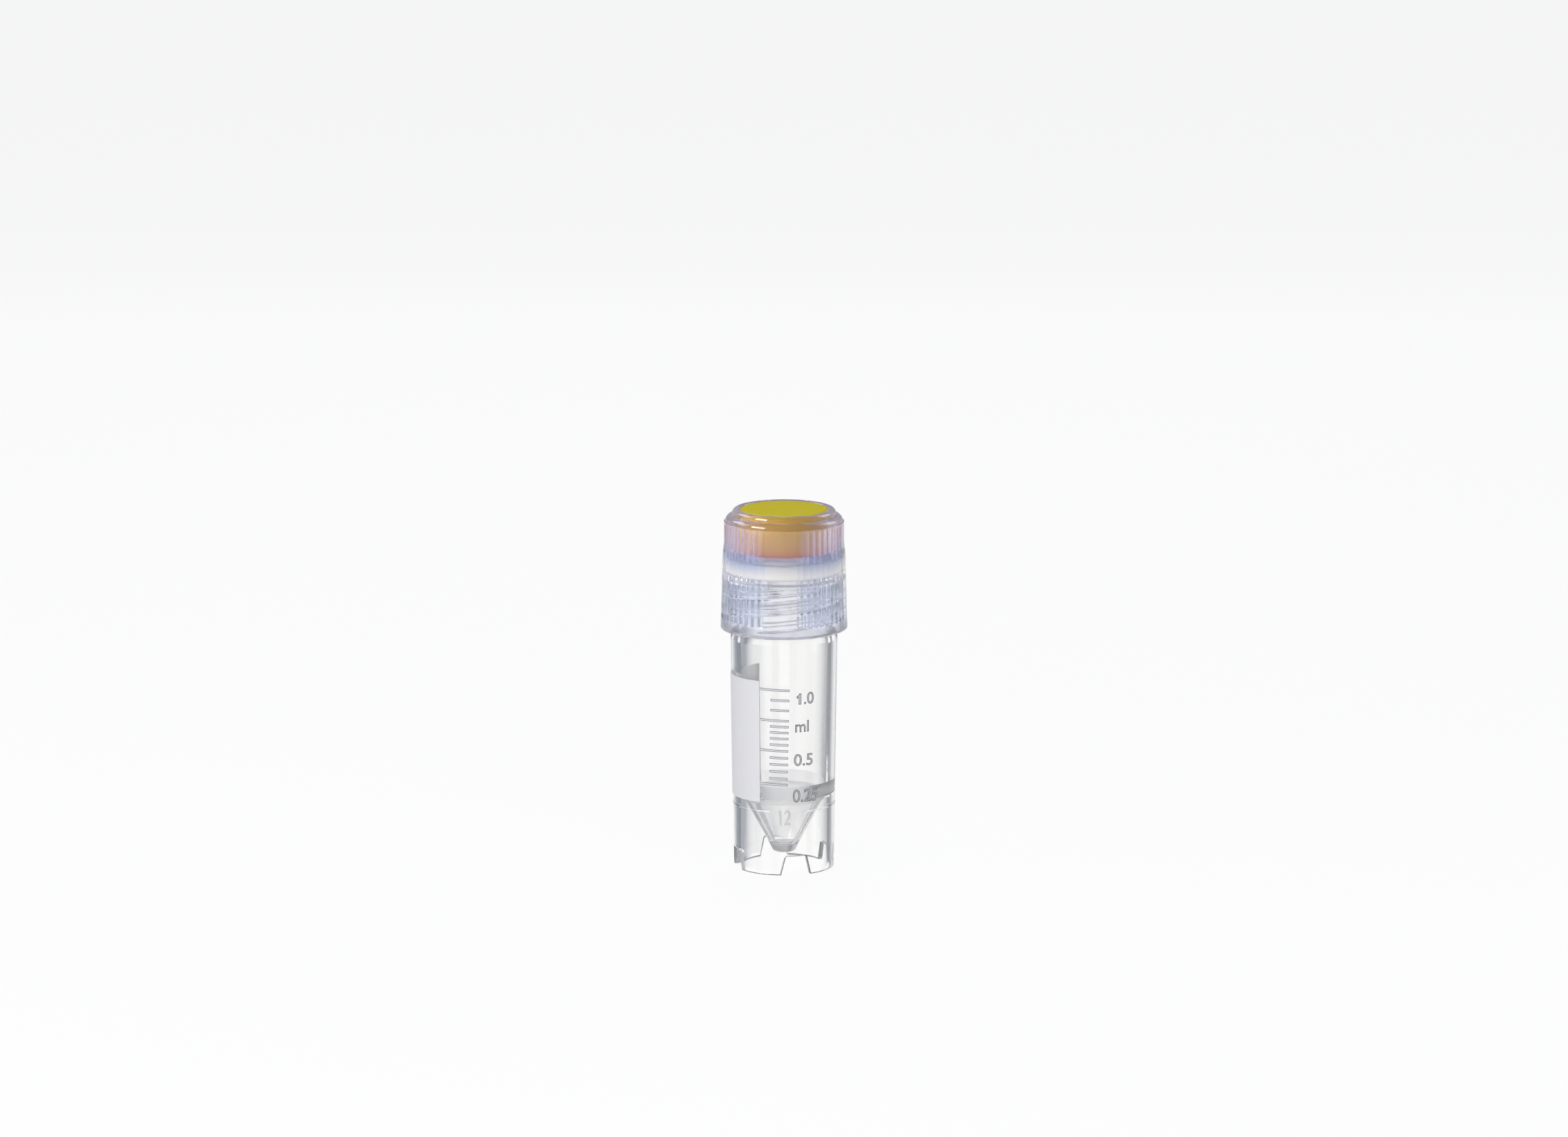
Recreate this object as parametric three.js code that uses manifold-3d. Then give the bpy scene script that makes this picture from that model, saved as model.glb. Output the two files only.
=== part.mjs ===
// A 1 ml self-standing cryovial with an external-thread screw cap, closed. Millimetres, +Z up, origin at
// the middle of the foot. Azimuths are in degrees round the axis, 0 on the -Y side and growing towards +X.
import * as THREE from "three";
import { mergeVertices } from "three/addons/utils/BufferGeometryUtils.js";
import Module from "manifold-3d";

const wasm = await Module();
wasm.setup();

// Vial: heights
const VIAL_HEIGHT = 34; // foot to rim
const NECK_LENGTH = 6.7; // shoulder to rim
const CONE_DEPTH = 7.39; // inside cone, from the straight bore down to its blunt tip
const TIP_HEIGHT = 1.66; // foot plane to the outside of the blunt tip
const TIP_WALL = 1.05; // wall at the tip
const GROOVE_HEIGHT = 8.5; // foot plane to the top of the space between cone and skirt
const RIM_BEVEL = 0.2;
const FOOT_BEVEL = 0.1;

// Vial: radii and walls
const BORE_R = 5.08; // at the rim
const BORE_DRAFT = 0.42; // radius lost from the rim to the cone
const BODY_WALL = 0.97; // at the shoulder
const BODY_DRAFT = 0.39; // radius lost from the shoulder to the foot
const NECK_WALL = 0.48; // at the thread root
const SKIRT_WALL = 0.74; // at the foot
const GROOVE_WIDTH = 0.2; // rounded top of the space between cone and skirt
const CONE_TIP_R = 0.7; // flat inside the tip
const CONE_TIP_ROUND = 0.5; // rounding round that flat, across
const TIP_R = 0.7; // flat outside the tip
const TIP_ROUND = 0.44; // rounding round that flat, upwards
const CONE_FOOT_R = 1.38; // outside of the cone, where the tip's rounding ends

// Skirt notches
const NOTCH_COUNT = 4;
const NOTCH_AZIMUTH = 14.4; // middle of the first notch
const NOTCH_HEIGHT = 2.22;
const NOTCH_FOOT_WIDTH = 3.4;
const NOTCH_TOP_WIDTH = 2.35;
const NOTCH_CORNER = 0.25;
const NOTCH_OVERRUN = 1; // the cutter's reach past the foot and the wall

// Screw thread, shared by neck and cap
const PITCH = 2; // axial step from one ridge to the next
const STARTS = 2;
const THREAD_DEPTH = 0.47;
const THREAD_CLEARANCE = 0.27; // between a crest and the root it faces
const FLANK_CLEARANCE = 0.05; // half pitch less the width of a ridge at its base
const CREST_WIDTH = 0.45;
const RUN_OUT = 20; // degrees over which a ridge rises from its wall
const SUNK_END = 0.3; // how far under the wall's surface a ridge starts, in ridge depths
const RIDGE_ROOT = 0.15; // how far a ridge's root reaches into its wall
const THREAD_AZIMUTH = -25; // first ridge's lower end
const NECK_THREAD_FOOT = 2.1; // shoulder to the first ridge
const NECK_THREAD_TOP = 0.9; // last ridge to the rim
const CAP_THREAD_FOOT = 0.8; // lip to the cap's first ridge
const CAP_THREAD_TOP = 0.6; // last ridge to the gasket seat

// Gasket
const GASKET_THICKNESS = 1.6;
const GASKET_OVERHANG = 0.14; // past the neck
const GASKET_INSET = 0.6; // inside the bore
const GASKET_CLEARANCE = 0.15; // to the seat's wall
const SEAT_DROP = 0.3; // how far the seat reaches down over the rim
const SEAT_BEVEL = 0.3;

// Cap
const LIP_CLEARANCE = 0.24; // shoulder to lip
const LIP_ROUND = 0.2;
const LIP_FLARE = 0.2; // bevel at the mouth of the bore
const CAP_WALL = 0.89; // at the lip
const CAP_DRAFT = 0.4; // radius lost from the lip to the shoulder
const CAP_WEB = 0.85; // between the gasket seat and the insert's recess
const LEDGE = 0.14; // grip wall past the shoulder
const SHOULDER_WIDTH = 0.75; // rounded shoulder outside the raised ring
const SHOULDER_DROP = 0.75; // its fall from the ring to the ledge
const RING_WIDTH = 0.9;
const RING_HEIGHT = 0.65;
const RING_CROWN = 0.45; // width of the ring's round outer side
const RING_EDGE = 0.15; // small round at the recess

// Grip flutes
const GROUPS = 4;
const FLUTES_PER_GROUP = 9;
const FLUTE_PITCH = 6.7; // degrees
const GROUP_AZIMUTH = 41.5; // middle of the first group
const FLUTE_R = 0.41; // radius of the ball-ended cutter
const FLUTE_DEPTH = 0.14;
const LIP_BAND = 1.1; // plain band under the flutes

// Insert
const INSERT_HEIGHT = 4.8; // from the recess floor up to the ring's top
const INSERT_CLEARANCE = 0.25; // to the recess wall
const INSERT_BEVEL = 0.1;

// Writing patch printed on the body
const PATCH_HEIGHT = 14;
const PATCH_FOOT = 8.45; // foot plane to its lower edge
const PATCH_FROM = -146.5; // its two ends round the body
const PATCH_TO = -27.5;
const PATCH_THICKNESS = 0.06;
const PATCH_CLEARANCE = 0.03;

const SEGMENTS = 60; // facets round the axis

// Levels and radii that follow from the sizes above
const LEAD = PITCH * STARTS;
const RIDGE_WIDTH = PITCH / 2 - FLANK_CLEARANCE;
const shoulderZ = VIAL_HEIGHT - NECK_LENGTH;
const tipFloorZ = TIP_HEIGHT + TIP_WALL;
const coneTopZ = tipFloorZ + CONE_DEPTH;
const bodyR = BORE_R + BODY_WALL;
const neckR = BORE_R + NECK_WALL;
const boreFootR = BORE_R - BORE_DRAFT;

const ceilingZ = VIAL_HEIGHT + GASKET_THICKNESS;
const lipZ = shoulderZ + LIP_CLEARANCE;
const seatZ = VIAL_HEIGHT - SEAT_DROP;
const recessZ = ceilingZ + CAP_WEB;
const capTopZ = recessZ + INSERT_HEIGHT;
const creaseZ = capTopZ - RING_HEIGHT;
const ledgeZ = creaseZ - SHOULDER_DROP;
const capBoreR = neckR + THREAD_DEPTH + THREAD_CLEARANCE;
const lipR = capBoreR + CAP_WALL;
const gripTopR = lipR - CAP_DRAFT;
const shoulderR = gripTopR - LEDGE;
const ringR = shoulderR - SHOULDER_WIDTH;
const recessR = ringR - RING_WIDTH;
const insertR = recessR - INSERT_CLEARANCE;
const gasketR = neckR + GASKET_OVERHANG;

const radians = THREE.MathUtils.degToRad;

// Outside radius of the tapered body at a height.
function bodyRadius(z) {
  return bodyR - (BODY_DRAFT * (shoulderZ - z)) / shoulderZ;
}

// Outside radius of the cap's grip wall at a height.
function gripRadius(z) {
  return lipR - (CAP_DRAFT * (z - lipZ)) / (ledgeZ - lipZ);
}

function solid(geometry) {
  geometry.deleteAttribute("normal");
  geometry.deleteAttribute("uv");
  const merged = mergeVertices(geometry, 1e-4);
  return new wasm.Manifold(
    new wasm.Mesh({
      numProp: 3,
      vertProperties: merged.attributes.position.array,
      triVerts: new Uint32Array(merged.index.array),
    }),
  );
}

// Turns a profile of [radius, height] points about the Z axis.
function turned(profile) {
  const points = profile.map(([r, z]) => new THREE.Vector2(r, z));
  return solid(new THREE.LatheGeometry(points, SEGMENTS).rotateX(Math.PI / 2));
}

// Points of an elliptical arc in a profile, without its two ends.
function arc(centreR, centreZ, radiusR, radiusZ, from, to, count) {
  return Array.from({ length: count }, (_, i) => {
    const angle = radians(from + ((to - from) * (i + 1)) / (count + 1));
    return [centreR + radiusR * Math.cos(angle), centreZ + radiusZ * Math.sin(angle)];
  });
}

// One helical ridge of four-sided section. section(rise) gives its inner and outer radius and widths. The
// rise is 1 where the ridge is full, and falls to -SUNK_END, under the wall's surface, at both ends.
function ridge(startZ, endZ, startAzimuth, section) {
  const steps = Math.round(((endZ - startZ) / LEAD) * SEGMENTS);
  const runOutSteps = (RUN_OUT / 360) * SEGMENTS;
  const positions = [];
  const indices = [];
  for (let i = 0; i <= steps; i++) {
    const angle = radians(startAzimuth) + ((2 * Math.PI) / SEGMENTS) * i;
    const z = startZ + (LEAD * i) / SEGMENTS;
    const rise = Math.min(1, ((1 + SUNK_END) * Math.min(i, steps - i)) / runOutSteps - SUNK_END);
    const { innerR, innerWidth, outerR, outerWidth } = section(rise);
    const corners = [
      [innerR, z - innerWidth / 2],
      [outerR, z - outerWidth / 2],
      [outerR, z + outerWidth / 2],
      [innerR, z + innerWidth / 2],
    ];
    corners.forEach(([r, level]) => positions.push(r * Math.sin(angle), -r * Math.cos(angle), level));
  }
  for (let i = 0; i < steps; i++) {
    for (let side = 0; side < 4; side++) {
      const a = 4 * i + side;
      const b = 4 * i + ((side + 1) % 4);
      indices.push(a, a + 4, b + 4, a, b + 4, b);
    }
  }
  const last = 4 * steps;
  indices.push(0, 1, 2, 0, 2, 3, last, last + 2, last + 1, last, last + 3, last + 2);
  const geometry = new THREE.BufferGeometry();
  geometry.setAttribute("position", new THREE.Float32BufferAttribute(positions, 3));
  geometry.setIndex(indices);
  return solid(geometry);
}

// The neck's ridges stand out from its root and the cap's stand in from its bore. Both have the same lead,
// and the cap's lie half a pitch below the neck's, so each runs midway between two of the other's.
const neckThreadZ = shoulderZ + NECK_THREAD_FOOT;

function neckRidges() {
  const section = (rise) => ({
    innerR: neckR - RIDGE_ROOT,
    innerWidth: RIDGE_WIDTH,
    outerR: neckR + THREAD_DEPTH * rise,
    outerWidth: CREST_WIDTH,
  });
  return Array.from({ length: STARTS }, (_, start) =>
    ridge(neckThreadZ, VIAL_HEIGHT - NECK_THREAD_TOP, THREAD_AZIMUTH + (360 / STARTS) * start, section),
  );
}

function capRidges() {
  const section = (rise) => ({
    innerR: capBoreR - THREAD_DEPTH * rise,
    innerWidth: CREST_WIDTH,
    outerR: capBoreR + RIDGE_ROOT,
    outerWidth: RIDGE_WIDTH,
  });
  const startZ = lipZ + CAP_THREAD_FOOT;
  const phase = (360 * (startZ - neckThreadZ + PITCH / 2)) / LEAD;
  return Array.from({ length: STARTS }, (_, start) =>
    ridge(startZ, seatZ - CAP_THREAD_TOP, THREAD_AZIMUTH + phase + (360 / STARTS) * start, section),
  );
}

// One notch through the skirt, open at the foot, with leaning sides and rounded upper corners.
function notch(azimuth) {
  const lean = (NOTCH_FOOT_WIDTH - NOTCH_TOP_WIDTH) / 2 / NOTCH_HEIGHT;
  const foot = NOTCH_FOOT_WIDTH / 2 + lean * NOTCH_OVERRUN;
  const top = NOTCH_TOP_WIDTH / 2;
  const outline = new THREE.Shape();
  outline.moveTo(-foot, -NOTCH_OVERRUN);
  outline.lineTo(foot, -NOTCH_OVERRUN);
  outline.lineTo(top + lean * NOTCH_CORNER, NOTCH_HEIGHT - NOTCH_CORNER);
  outline.quadraticCurveTo(top, NOTCH_HEIGHT, top - NOTCH_CORNER, NOTCH_HEIGHT);
  outline.lineTo(NOTCH_CORNER - top, NOTCH_HEIGHT);
  outline.quadraticCurveTo(-top, NOTCH_HEIGHT, -top - lean * NOTCH_CORNER, NOTCH_HEIGHT - NOTCH_CORNER);
  const inside = bodyRadius(0) - 2 * SKIRT_WALL;
  const across = new THREE.ExtrudeGeometry(outline, {
    depth: bodyR - inside + NOTCH_OVERRUN,
    bevelEnabled: false,
    curveSegments: 4,
  });
  return solid(across.translate(0, 0, inside).rotateX(Math.PI / 2).rotateZ(radians(azimuth)));
}

// Threaded neck, tapered body, conical bottom and notched skirt, moulded in one piece.
function vialTube() {
  const footR = bodyRadius(0);
  const skirtR = footR - SKIRT_WALL;
  const body = turned([
    [0, TIP_HEIGHT],
    [TIP_R, TIP_HEIGHT],
    [CONE_FOOT_R, TIP_HEIGHT + TIP_ROUND],
    [skirtR - GROOVE_WIDTH, GROOVE_HEIGHT],
    ...arc(skirtR - GROOVE_WIDTH / 2, GROOVE_HEIGHT, GROOVE_WIDTH / 2, GROOVE_WIDTH / 2, 180, 0, 2),
    [skirtR, GROOVE_HEIGHT],
    [skirtR, FOOT_BEVEL],
    [skirtR + FOOT_BEVEL / 2, 0],
    [footR - FOOT_BEVEL, 0],
    [footR, FOOT_BEVEL],
    [bodyR, shoulderZ - RIM_BEVEL / 2],
    [bodyR - RIM_BEVEL / 2, shoulderZ],
    [neckR, shoulderZ],
    [neckR, VIAL_HEIGHT - RIM_BEVEL],
    [neckR - RIM_BEVEL / 2, VIAL_HEIGHT],
    [BORE_R + RIM_BEVEL / 2, VIAL_HEIGHT],
    [BORE_R, VIAL_HEIGHT - RIM_BEVEL],
    [boreFootR, coneTopZ],
    [CONE_TIP_R + CONE_TIP_ROUND, tipFloorZ + CONE_TIP_ROUND / 2],
    [CONE_TIP_R, tipFloorZ],
    [0, tipFloorZ],
  ]);
  const threaded = neckRidges().reduce((whole, piece) => whole.add(piece), body);
  return Array.from({ length: NOTCH_COUNT }, (_, i) => NOTCH_AZIMUTH + (360 / NOTCH_COUNT) * i).reduce(
    (whole, azimuth) => whole.subtract(notch(azimuth)),
    threaded,
  );
}

// One ball-ended flute, leaning with the grip wall.
function flute(azimuth) {
  const foot = lipZ + LIP_BAND + FLUTE_R;
  const top = ledgeZ - FLUTE_R;
  const offset = FLUTE_R - FLUTE_DEPTH;
  const length = top - foot;
  const lean = Math.atan2(gripRadius(foot) - gripRadius(top), length);
  const cutter = new THREE.CapsuleGeometry(FLUTE_R, length, 2, 8)
    .rotateX(Math.PI / 2)
    .rotateX(-lean)
    .translate(0, -gripRadius((foot + top) / 2) - offset, (foot + top) / 2);
  return solid(cutter.rotateZ(radians(azimuth)));
}

function fluteAzimuths() {
  const places = [];
  for (let group = 0; group < GROUPS; group++) {
    for (let i = 0; i < FLUTES_PER_GROUP; i++) {
      const fromMiddle = (i - (FLUTES_PER_GROUP - 1) / 2) * FLUTE_PITCH;
      places.push(GROUP_AZIMUTH + (360 / GROUPS) * group + fromMiddle);
    }
  }
  return places;
}

// Fluted cap with an inside thread, a gasket seat under its web and a recess for the insert in its top.
function screwCap() {
  const seatR = gasketR + GASKET_CLEARANCE;
  const body = turned([
    [0, ceilingZ],
    [seatR, ceilingZ],
    [seatR, seatZ],
    [capBoreR, seatZ - SEAT_BEVEL],
    [capBoreR, lipZ + LIP_FLARE],
    [capBoreR + LIP_FLARE, lipZ],
    [lipR - LIP_ROUND, lipZ],
    ...arc(lipR - LIP_ROUND, lipZ + LIP_ROUND, LIP_ROUND, LIP_ROUND, -90, 0, 1),
    [gripRadius(lipZ + LIP_ROUND), lipZ + LIP_ROUND],
    [gripTopR, ledgeZ],
    [shoulderR, ledgeZ],
    ...arc(ringR, ledgeZ, SHOULDER_WIDTH, SHOULDER_DROP, 0, 90, 3),
    [ringR, creaseZ],
    ...arc(ringR - RING_CROWN, creaseZ, RING_CROWN, RING_HEIGHT, 0, 90, 3),
    [ringR - RING_CROWN, capTopZ],
    [recessR + RING_EDGE, capTopZ],
    ...arc(recessR + RING_EDGE, capTopZ - RING_EDGE, RING_EDGE, RING_EDGE, 90, 180, 1),
    [recessR, capTopZ - RING_EDGE],
    [recessR, recessZ],
    [0, recessZ],
  ]);
  const threaded = capRidges().reduce((whole, piece) => whole.add(piece), body);
  return fluteAzimuths().reduce((whole, azimuth) => whole.subtract(flute(azimuth)), threaded);
}

// Coloured plug seated in the cap's recess, its face level with the ring.
function capInsert() {
  return turned([
    [0, recessZ],
    [insertR - INSERT_BEVEL, recessZ],
    [insertR, recessZ + INSERT_BEVEL],
    [insertR, capTopZ - INSERT_BEVEL],
    [insertR - INSERT_BEVEL, capTopZ],
    [0, capTopZ],
  ]);
}

// Flat silicone ring between the rim and the cap.
function sealGasket() {
  const holeR = BORE_R - GASKET_INSET;
  return turned([
    [holeR, VIAL_HEIGHT],
    [gasketR, VIAL_HEIGHT],
    [gasketR, ceilingZ],
    [holeR, ceilingZ],
    [holeR, VIAL_HEIGHT],
  ]);
}

// Panel of ink that wraps part of the way round the body and follows its taper.
function writingPatch() {
  const innerR = bodyRadius(PATCH_FOOT) + PATCH_CLEARANCE;
  const from = radians(PATCH_FROM - 90);
  const to = radians(PATCH_TO - 90);
  const outline = new THREE.Shape();
  outline.absarc(0, 0, innerR + PATCH_THICKNESS, from, to, false);
  outline.absarc(0, 0, innerR, to, from, true);
  const panel = new THREE.ExtrudeGeometry(outline, {
    depth: PATCH_HEIGHT,
    bevelEnabled: false,
    curveSegments: 24,
  });
  const position = panel.getAttribute("position");
  for (let i = 0; i < position.count; i++) {
    const spread = 1 + (bodyRadius(PATCH_FOOT + position.getZ(i)) - bodyRadius(PATCH_FOOT)) / innerR;
    position.setXY(i, position.getX(i) * spread, position.getY(i) * spread);
  }
  return solid(panel.translate(0, 0, PATCH_FOOT));
}

function named(name, shape, finish) {
  const { vertProperties, triVerts } = shape.getMesh();
  const geometry = new THREE.BufferGeometry();
  geometry.setAttribute("position", new THREE.BufferAttribute(vertProperties, 3));
  geometry.setIndex(new THREE.BufferAttribute(triVerts, 1));
  geometry.computeVertexNormals();
  const mesh = new THREE.Mesh(geometry, new THREE.MeshStandardMaterial(finish));
  mesh.name = name;
  return mesh;
}

const clear = { color: 0xe9ebef, roughness: 0.12, metalness: 0, transparent: true, opacity: 0.35 };
const tinted = { color: 0xc9c6e2, roughness: 0.15, metalness: 0, transparent: true, opacity: 0.45 };

const vial = new THREE.Group();
vial.add(named("vial_tube", vialTube(), clear));
vial.add(named("writing_patch", writingPatch(), { color: 0xdadae0, roughness: 0.7, metalness: 0 }));

const cap = new THREE.Group();
cap.add(named("screw_cap", screwCap(), tinted));
cap.add(named("cap_insert", capInsert(), { color: 0xbfb02a, roughness: 0.45, metalness: 0 }));
cap.add(named("seal_gasket", sealGasket(), { color: 0xe6e6e2, roughness: 0.5, metalness: 0 }));

const cryovial = new THREE.Group();
cryovial.add(vial, cap);
export default cryovial;
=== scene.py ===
import math

import bmesh
import bpy
import numpy as np
from mathutils import Matrix, Vector


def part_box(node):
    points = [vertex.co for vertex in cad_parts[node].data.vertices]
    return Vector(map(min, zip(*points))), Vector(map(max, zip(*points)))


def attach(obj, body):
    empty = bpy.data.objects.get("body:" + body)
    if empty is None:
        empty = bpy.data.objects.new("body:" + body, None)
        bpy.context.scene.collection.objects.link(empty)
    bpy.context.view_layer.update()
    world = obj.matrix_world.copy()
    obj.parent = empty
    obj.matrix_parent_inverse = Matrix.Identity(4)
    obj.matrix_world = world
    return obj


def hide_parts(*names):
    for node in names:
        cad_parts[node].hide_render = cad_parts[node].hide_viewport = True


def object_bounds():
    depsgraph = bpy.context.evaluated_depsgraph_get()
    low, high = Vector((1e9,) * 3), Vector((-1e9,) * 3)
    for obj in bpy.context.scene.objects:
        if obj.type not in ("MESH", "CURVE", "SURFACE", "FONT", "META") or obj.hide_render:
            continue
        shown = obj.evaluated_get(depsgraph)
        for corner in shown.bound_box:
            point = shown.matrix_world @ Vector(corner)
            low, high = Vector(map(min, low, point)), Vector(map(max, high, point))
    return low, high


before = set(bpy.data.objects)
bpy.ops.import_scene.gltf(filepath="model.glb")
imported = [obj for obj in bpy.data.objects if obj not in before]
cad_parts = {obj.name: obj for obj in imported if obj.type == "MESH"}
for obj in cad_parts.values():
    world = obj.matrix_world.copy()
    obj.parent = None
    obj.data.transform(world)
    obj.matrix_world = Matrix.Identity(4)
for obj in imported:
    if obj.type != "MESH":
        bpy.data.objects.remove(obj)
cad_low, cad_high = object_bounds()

# ---- Camera ----
# A long lens well back from the vial, a little above it and tilted down, so the
# round edges stay nearly flat and the cap's top just shows.
camera_distance, camera_height, camera_tilt = 0.7277, 0.1784, 11.2
camera_data = bpy.data.cameras.new("camera")
camera_data.lens = 150.8
camera_data.sensor_width = 36
camera = bpy.data.objects.new("camera", camera_data)
camera.location = (0, -camera_distance, cad_low.z + camera_height)
camera.rotation_euler = (math.radians(90 - camera_tilt), 0, 0)
bpy.context.scene.collection.objects.link(camera)
bpy.context.scene.camera = camera
bpy.context.scene.view_settings.view_transform = "Standard"

# ---- Vial tube ----
# One injection moulding in clear polypropylene: a neck with a two-start thread, a
# tapered body over a conical bottom, and a skirt with four notches that lets it
# stand and keys it into a rack.
MM = 0.001  # sizes are in millimetres up to the point where they become a mesh
rim_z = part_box("vial_tube")[1].z / MM
shoulder_z = rim_z - 6.7
body_r, foot_r, neck_r = 6.05, 5.66, 5.56
bore_r, bore_foot_r = 5.08, 4.66
skirt_r = 4.92
cone_top_z, groove_z = 10.1, 8.5
cone_foot_r, cone_foot_z = 1.38, 2.1
tip_r, tip_z = 0.7, 1.66
well_z, well_foot_z = 3.3, 2.71
seam_z, seam_rise = 7.36, 0.028
thread_lead, thread_height, thread_crest, thread_root = 4.0, 0.47, 0.34, 0.95
thread_start, thread_run_out = -25, 26
notch_azimuth = 14.4
notch_foot_half, notch_top_half, notch_flat_half = 1.94, 1.23, 0.95
notch_corner_z, notch_top_z = 1.97, 2.22
notch_round_x, notch_round_z = 0.28, 0.25
notch_bevel = 0.09


def body_radius(z):
    return body_r - (body_r - foot_r) * (shoulder_z - z) / shoulder_z


def arc(centre_r, centre_z, radius_r, radius_z, start, end, count=7):
    turns = np.radians(np.linspace(start, end, count))
    return [(centre_r + radius_r * math.cos(t), centre_z + radius_z * math.sin(t)) for t in turns]


def wall(foot, top, count):
    return list(zip(np.linspace(foot[0], top[0], count), np.linspace(foot[1], top[1], count)))


def thread_rise(azimuths, z, start_azimuth, foot, top):
    """How far a two-start ridge stands at a height, from 0 to 1, one value for each column."""
    rise = np.zeros(len(azimuths))
    length = 360 * (top - foot) / thread_lead
    for start in (0, 180):
        along = (azimuths - start_azimuth - start) % 360
        while along.min() < length:
            away = np.abs(z - foot - thread_lead * along / 360)
            flank = np.clip((thread_root / 2 - away) / (thread_root / 2 - thread_crest / 2), 0, 1)
            ends = np.clip(np.minimum(along, length - along) / thread_run_out, 0, 1)
            ends = np.where(along <= length, ends, 0)
            rise = np.maximum(rise, flank * flank * (3 - 2 * flank) * ends * (2 - ends))
            along = along + 360
    return rise


def placed(name, mesh):
    piece = bpy.data.objects.new(name, mesh)
    bpy.context.scene.collection.objects.link(piece)
    return piece


def built(name, body):
    """Turns a finished bmesh, its faces made to look outward, into an object."""
    bmesh.ops.recalc_face_normals(body, faces=body.faces)
    mesh = bpy.data.meshes.new(name)
    body.to_mesh(mesh)
    body.free()
    return placed(name, mesh)


def turned(name, rows, azimuths):
    """A closed skin about the Z axis. A row is a radius and a height, each one number or one per column."""
    around = np.radians(azimuths)
    count = len(azimuths)
    points, first = [], []
    for r, z in rows:
        first.append(len(points))
        if np.ndim(r) == 0 and r == 0:
            points.append((0, 0, z))
        else:
            r, z = np.broadcast_to(r, count), np.broadcast_to(z, count)
            points += list(zip(r * np.sin(around), -r * np.cos(around), z))
    faces = []
    for row in range(len(rows) - 1):
        a, b = first[row], first[row + 1]
        last = first[row + 2] if row + 2 < len(first) else len(points)
        for i in range(count):
            j = (i + 1) % count
            if b - a == 1:
                faces.append((a, b + j, b + i))
            elif last - b == 1:
                faces.append((a + i, a + j, b))
            else:
                faces.append((a + i, a + j, b + j, b + i))
    mesh = bpy.data.meshes.new(name)
    mesh.from_pydata(np.array(points) * MM, [], faces)
    return placed(name, mesh)


def shade(piece, angle=22, soft=()):
    """Smooth faces with crisp edges over an angle, except in soft bands of (r0, r1, z0, z1)."""
    body = bmesh.new()
    body.from_mesh(piece.data)
    bmesh.ops.recalc_face_normals(body, faces=body.faces)
    for face in body.faces:
        face.smooth = True
    for edge in body.edges:
        middle = (edge.verts[0].co + edge.verts[1].co) / 2 / MM
        r = math.hypot(middle.x, middle.y)
        rounded = any(r0 < r < r1 and z0 < middle.z < z1 for r0, r1, z0, z1 in soft)
        edge.smooth = rounded or len(edge.link_faces) < 2 or edge.calc_face_angle(0) < math.radians(angle)
    body.to_mesh(piece.data)
    body.free()


def cut(piece, cutter):
    change = piece.modifiers.new("cut", "BOOLEAN")
    change.operation, change.object, change.solver = "DIFFERENCE", cutter, "EXACT"
    depsgraph = bpy.context.evaluated_depsgraph_get()
    made = bpy.data.meshes.new_from_object(piece.evaluated_get(depsgraph))
    piece.modifiers.clear()
    piece.data = made
    bpy.data.objects.remove(cutter)


def notch_cutter(azimuth):
    """A wedge across the skirt's wall, with rounded upper corners and a fine bevel outside."""
    below, inside, outside, clear_of_wall = -1, 4.2, 7.2, 0.2
    side = [
        (notch_foot_half - (notch_foot_half - notch_top_half) * t, below + (notch_corner_z - below) * t)
        for t in np.linspace(0, 1, 8)
    ]
    corner = [
        (notch_top_half - notch_round_x * (1 - math.cos(t)), notch_corner_z + notch_round_z * math.sin(t))
        for t in np.radians([22, 45, 68])
    ]
    right = side + corner + [(x, notch_top_z) for x in (notch_flat_half, 0.72, 0.48, 0.24)]
    outline = np.array(right + [(0, notch_top_z)] + [(-x, z) for x, z in reversed(right)])
    ahead = np.roll(outline, -1, axis=0) - np.roll(outline, 1, axis=0)
    outward = np.stack([ahead[:, 1], -ahead[:, 0]], axis=1) / np.hypot(*ahead.T)[:, None]
    grown = outline + (notch_bevel + clear_of_wall) * outward
    stations = [
        [(x, -inside, z) for x, z in outline],
        [(x, notch_bevel - math.sqrt(body_radius(z) ** 2 - x * x), z) for x, z in outline],
        [(x, -clear_of_wall - math.sqrt(body_radius(z) ** 2 - x * x), z) for x, z in grown],
        [(x, -outside, z) for x, z in grown],
    ]
    body = bmesh.new()
    rings = [[body.verts.new(point) for point in station] for station in stations]
    body.faces.new(rings[0])
    body.faces.new(list(reversed(rings[-1])))
    for near, far in zip(rings, rings[1:]):
        for i in range(len(outline)):
            j = (i + 1) % len(outline)
            body.faces.new((near[j], near[i], far[i], far[j]))
    turn = Matrix.Rotation(math.radians(azimuth), 4, "Z") @ Matrix.Scale(MM, 4)
    bmesh.ops.transform(body, matrix=turn, verts=body.verts)
    return built("notch", body)


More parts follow.
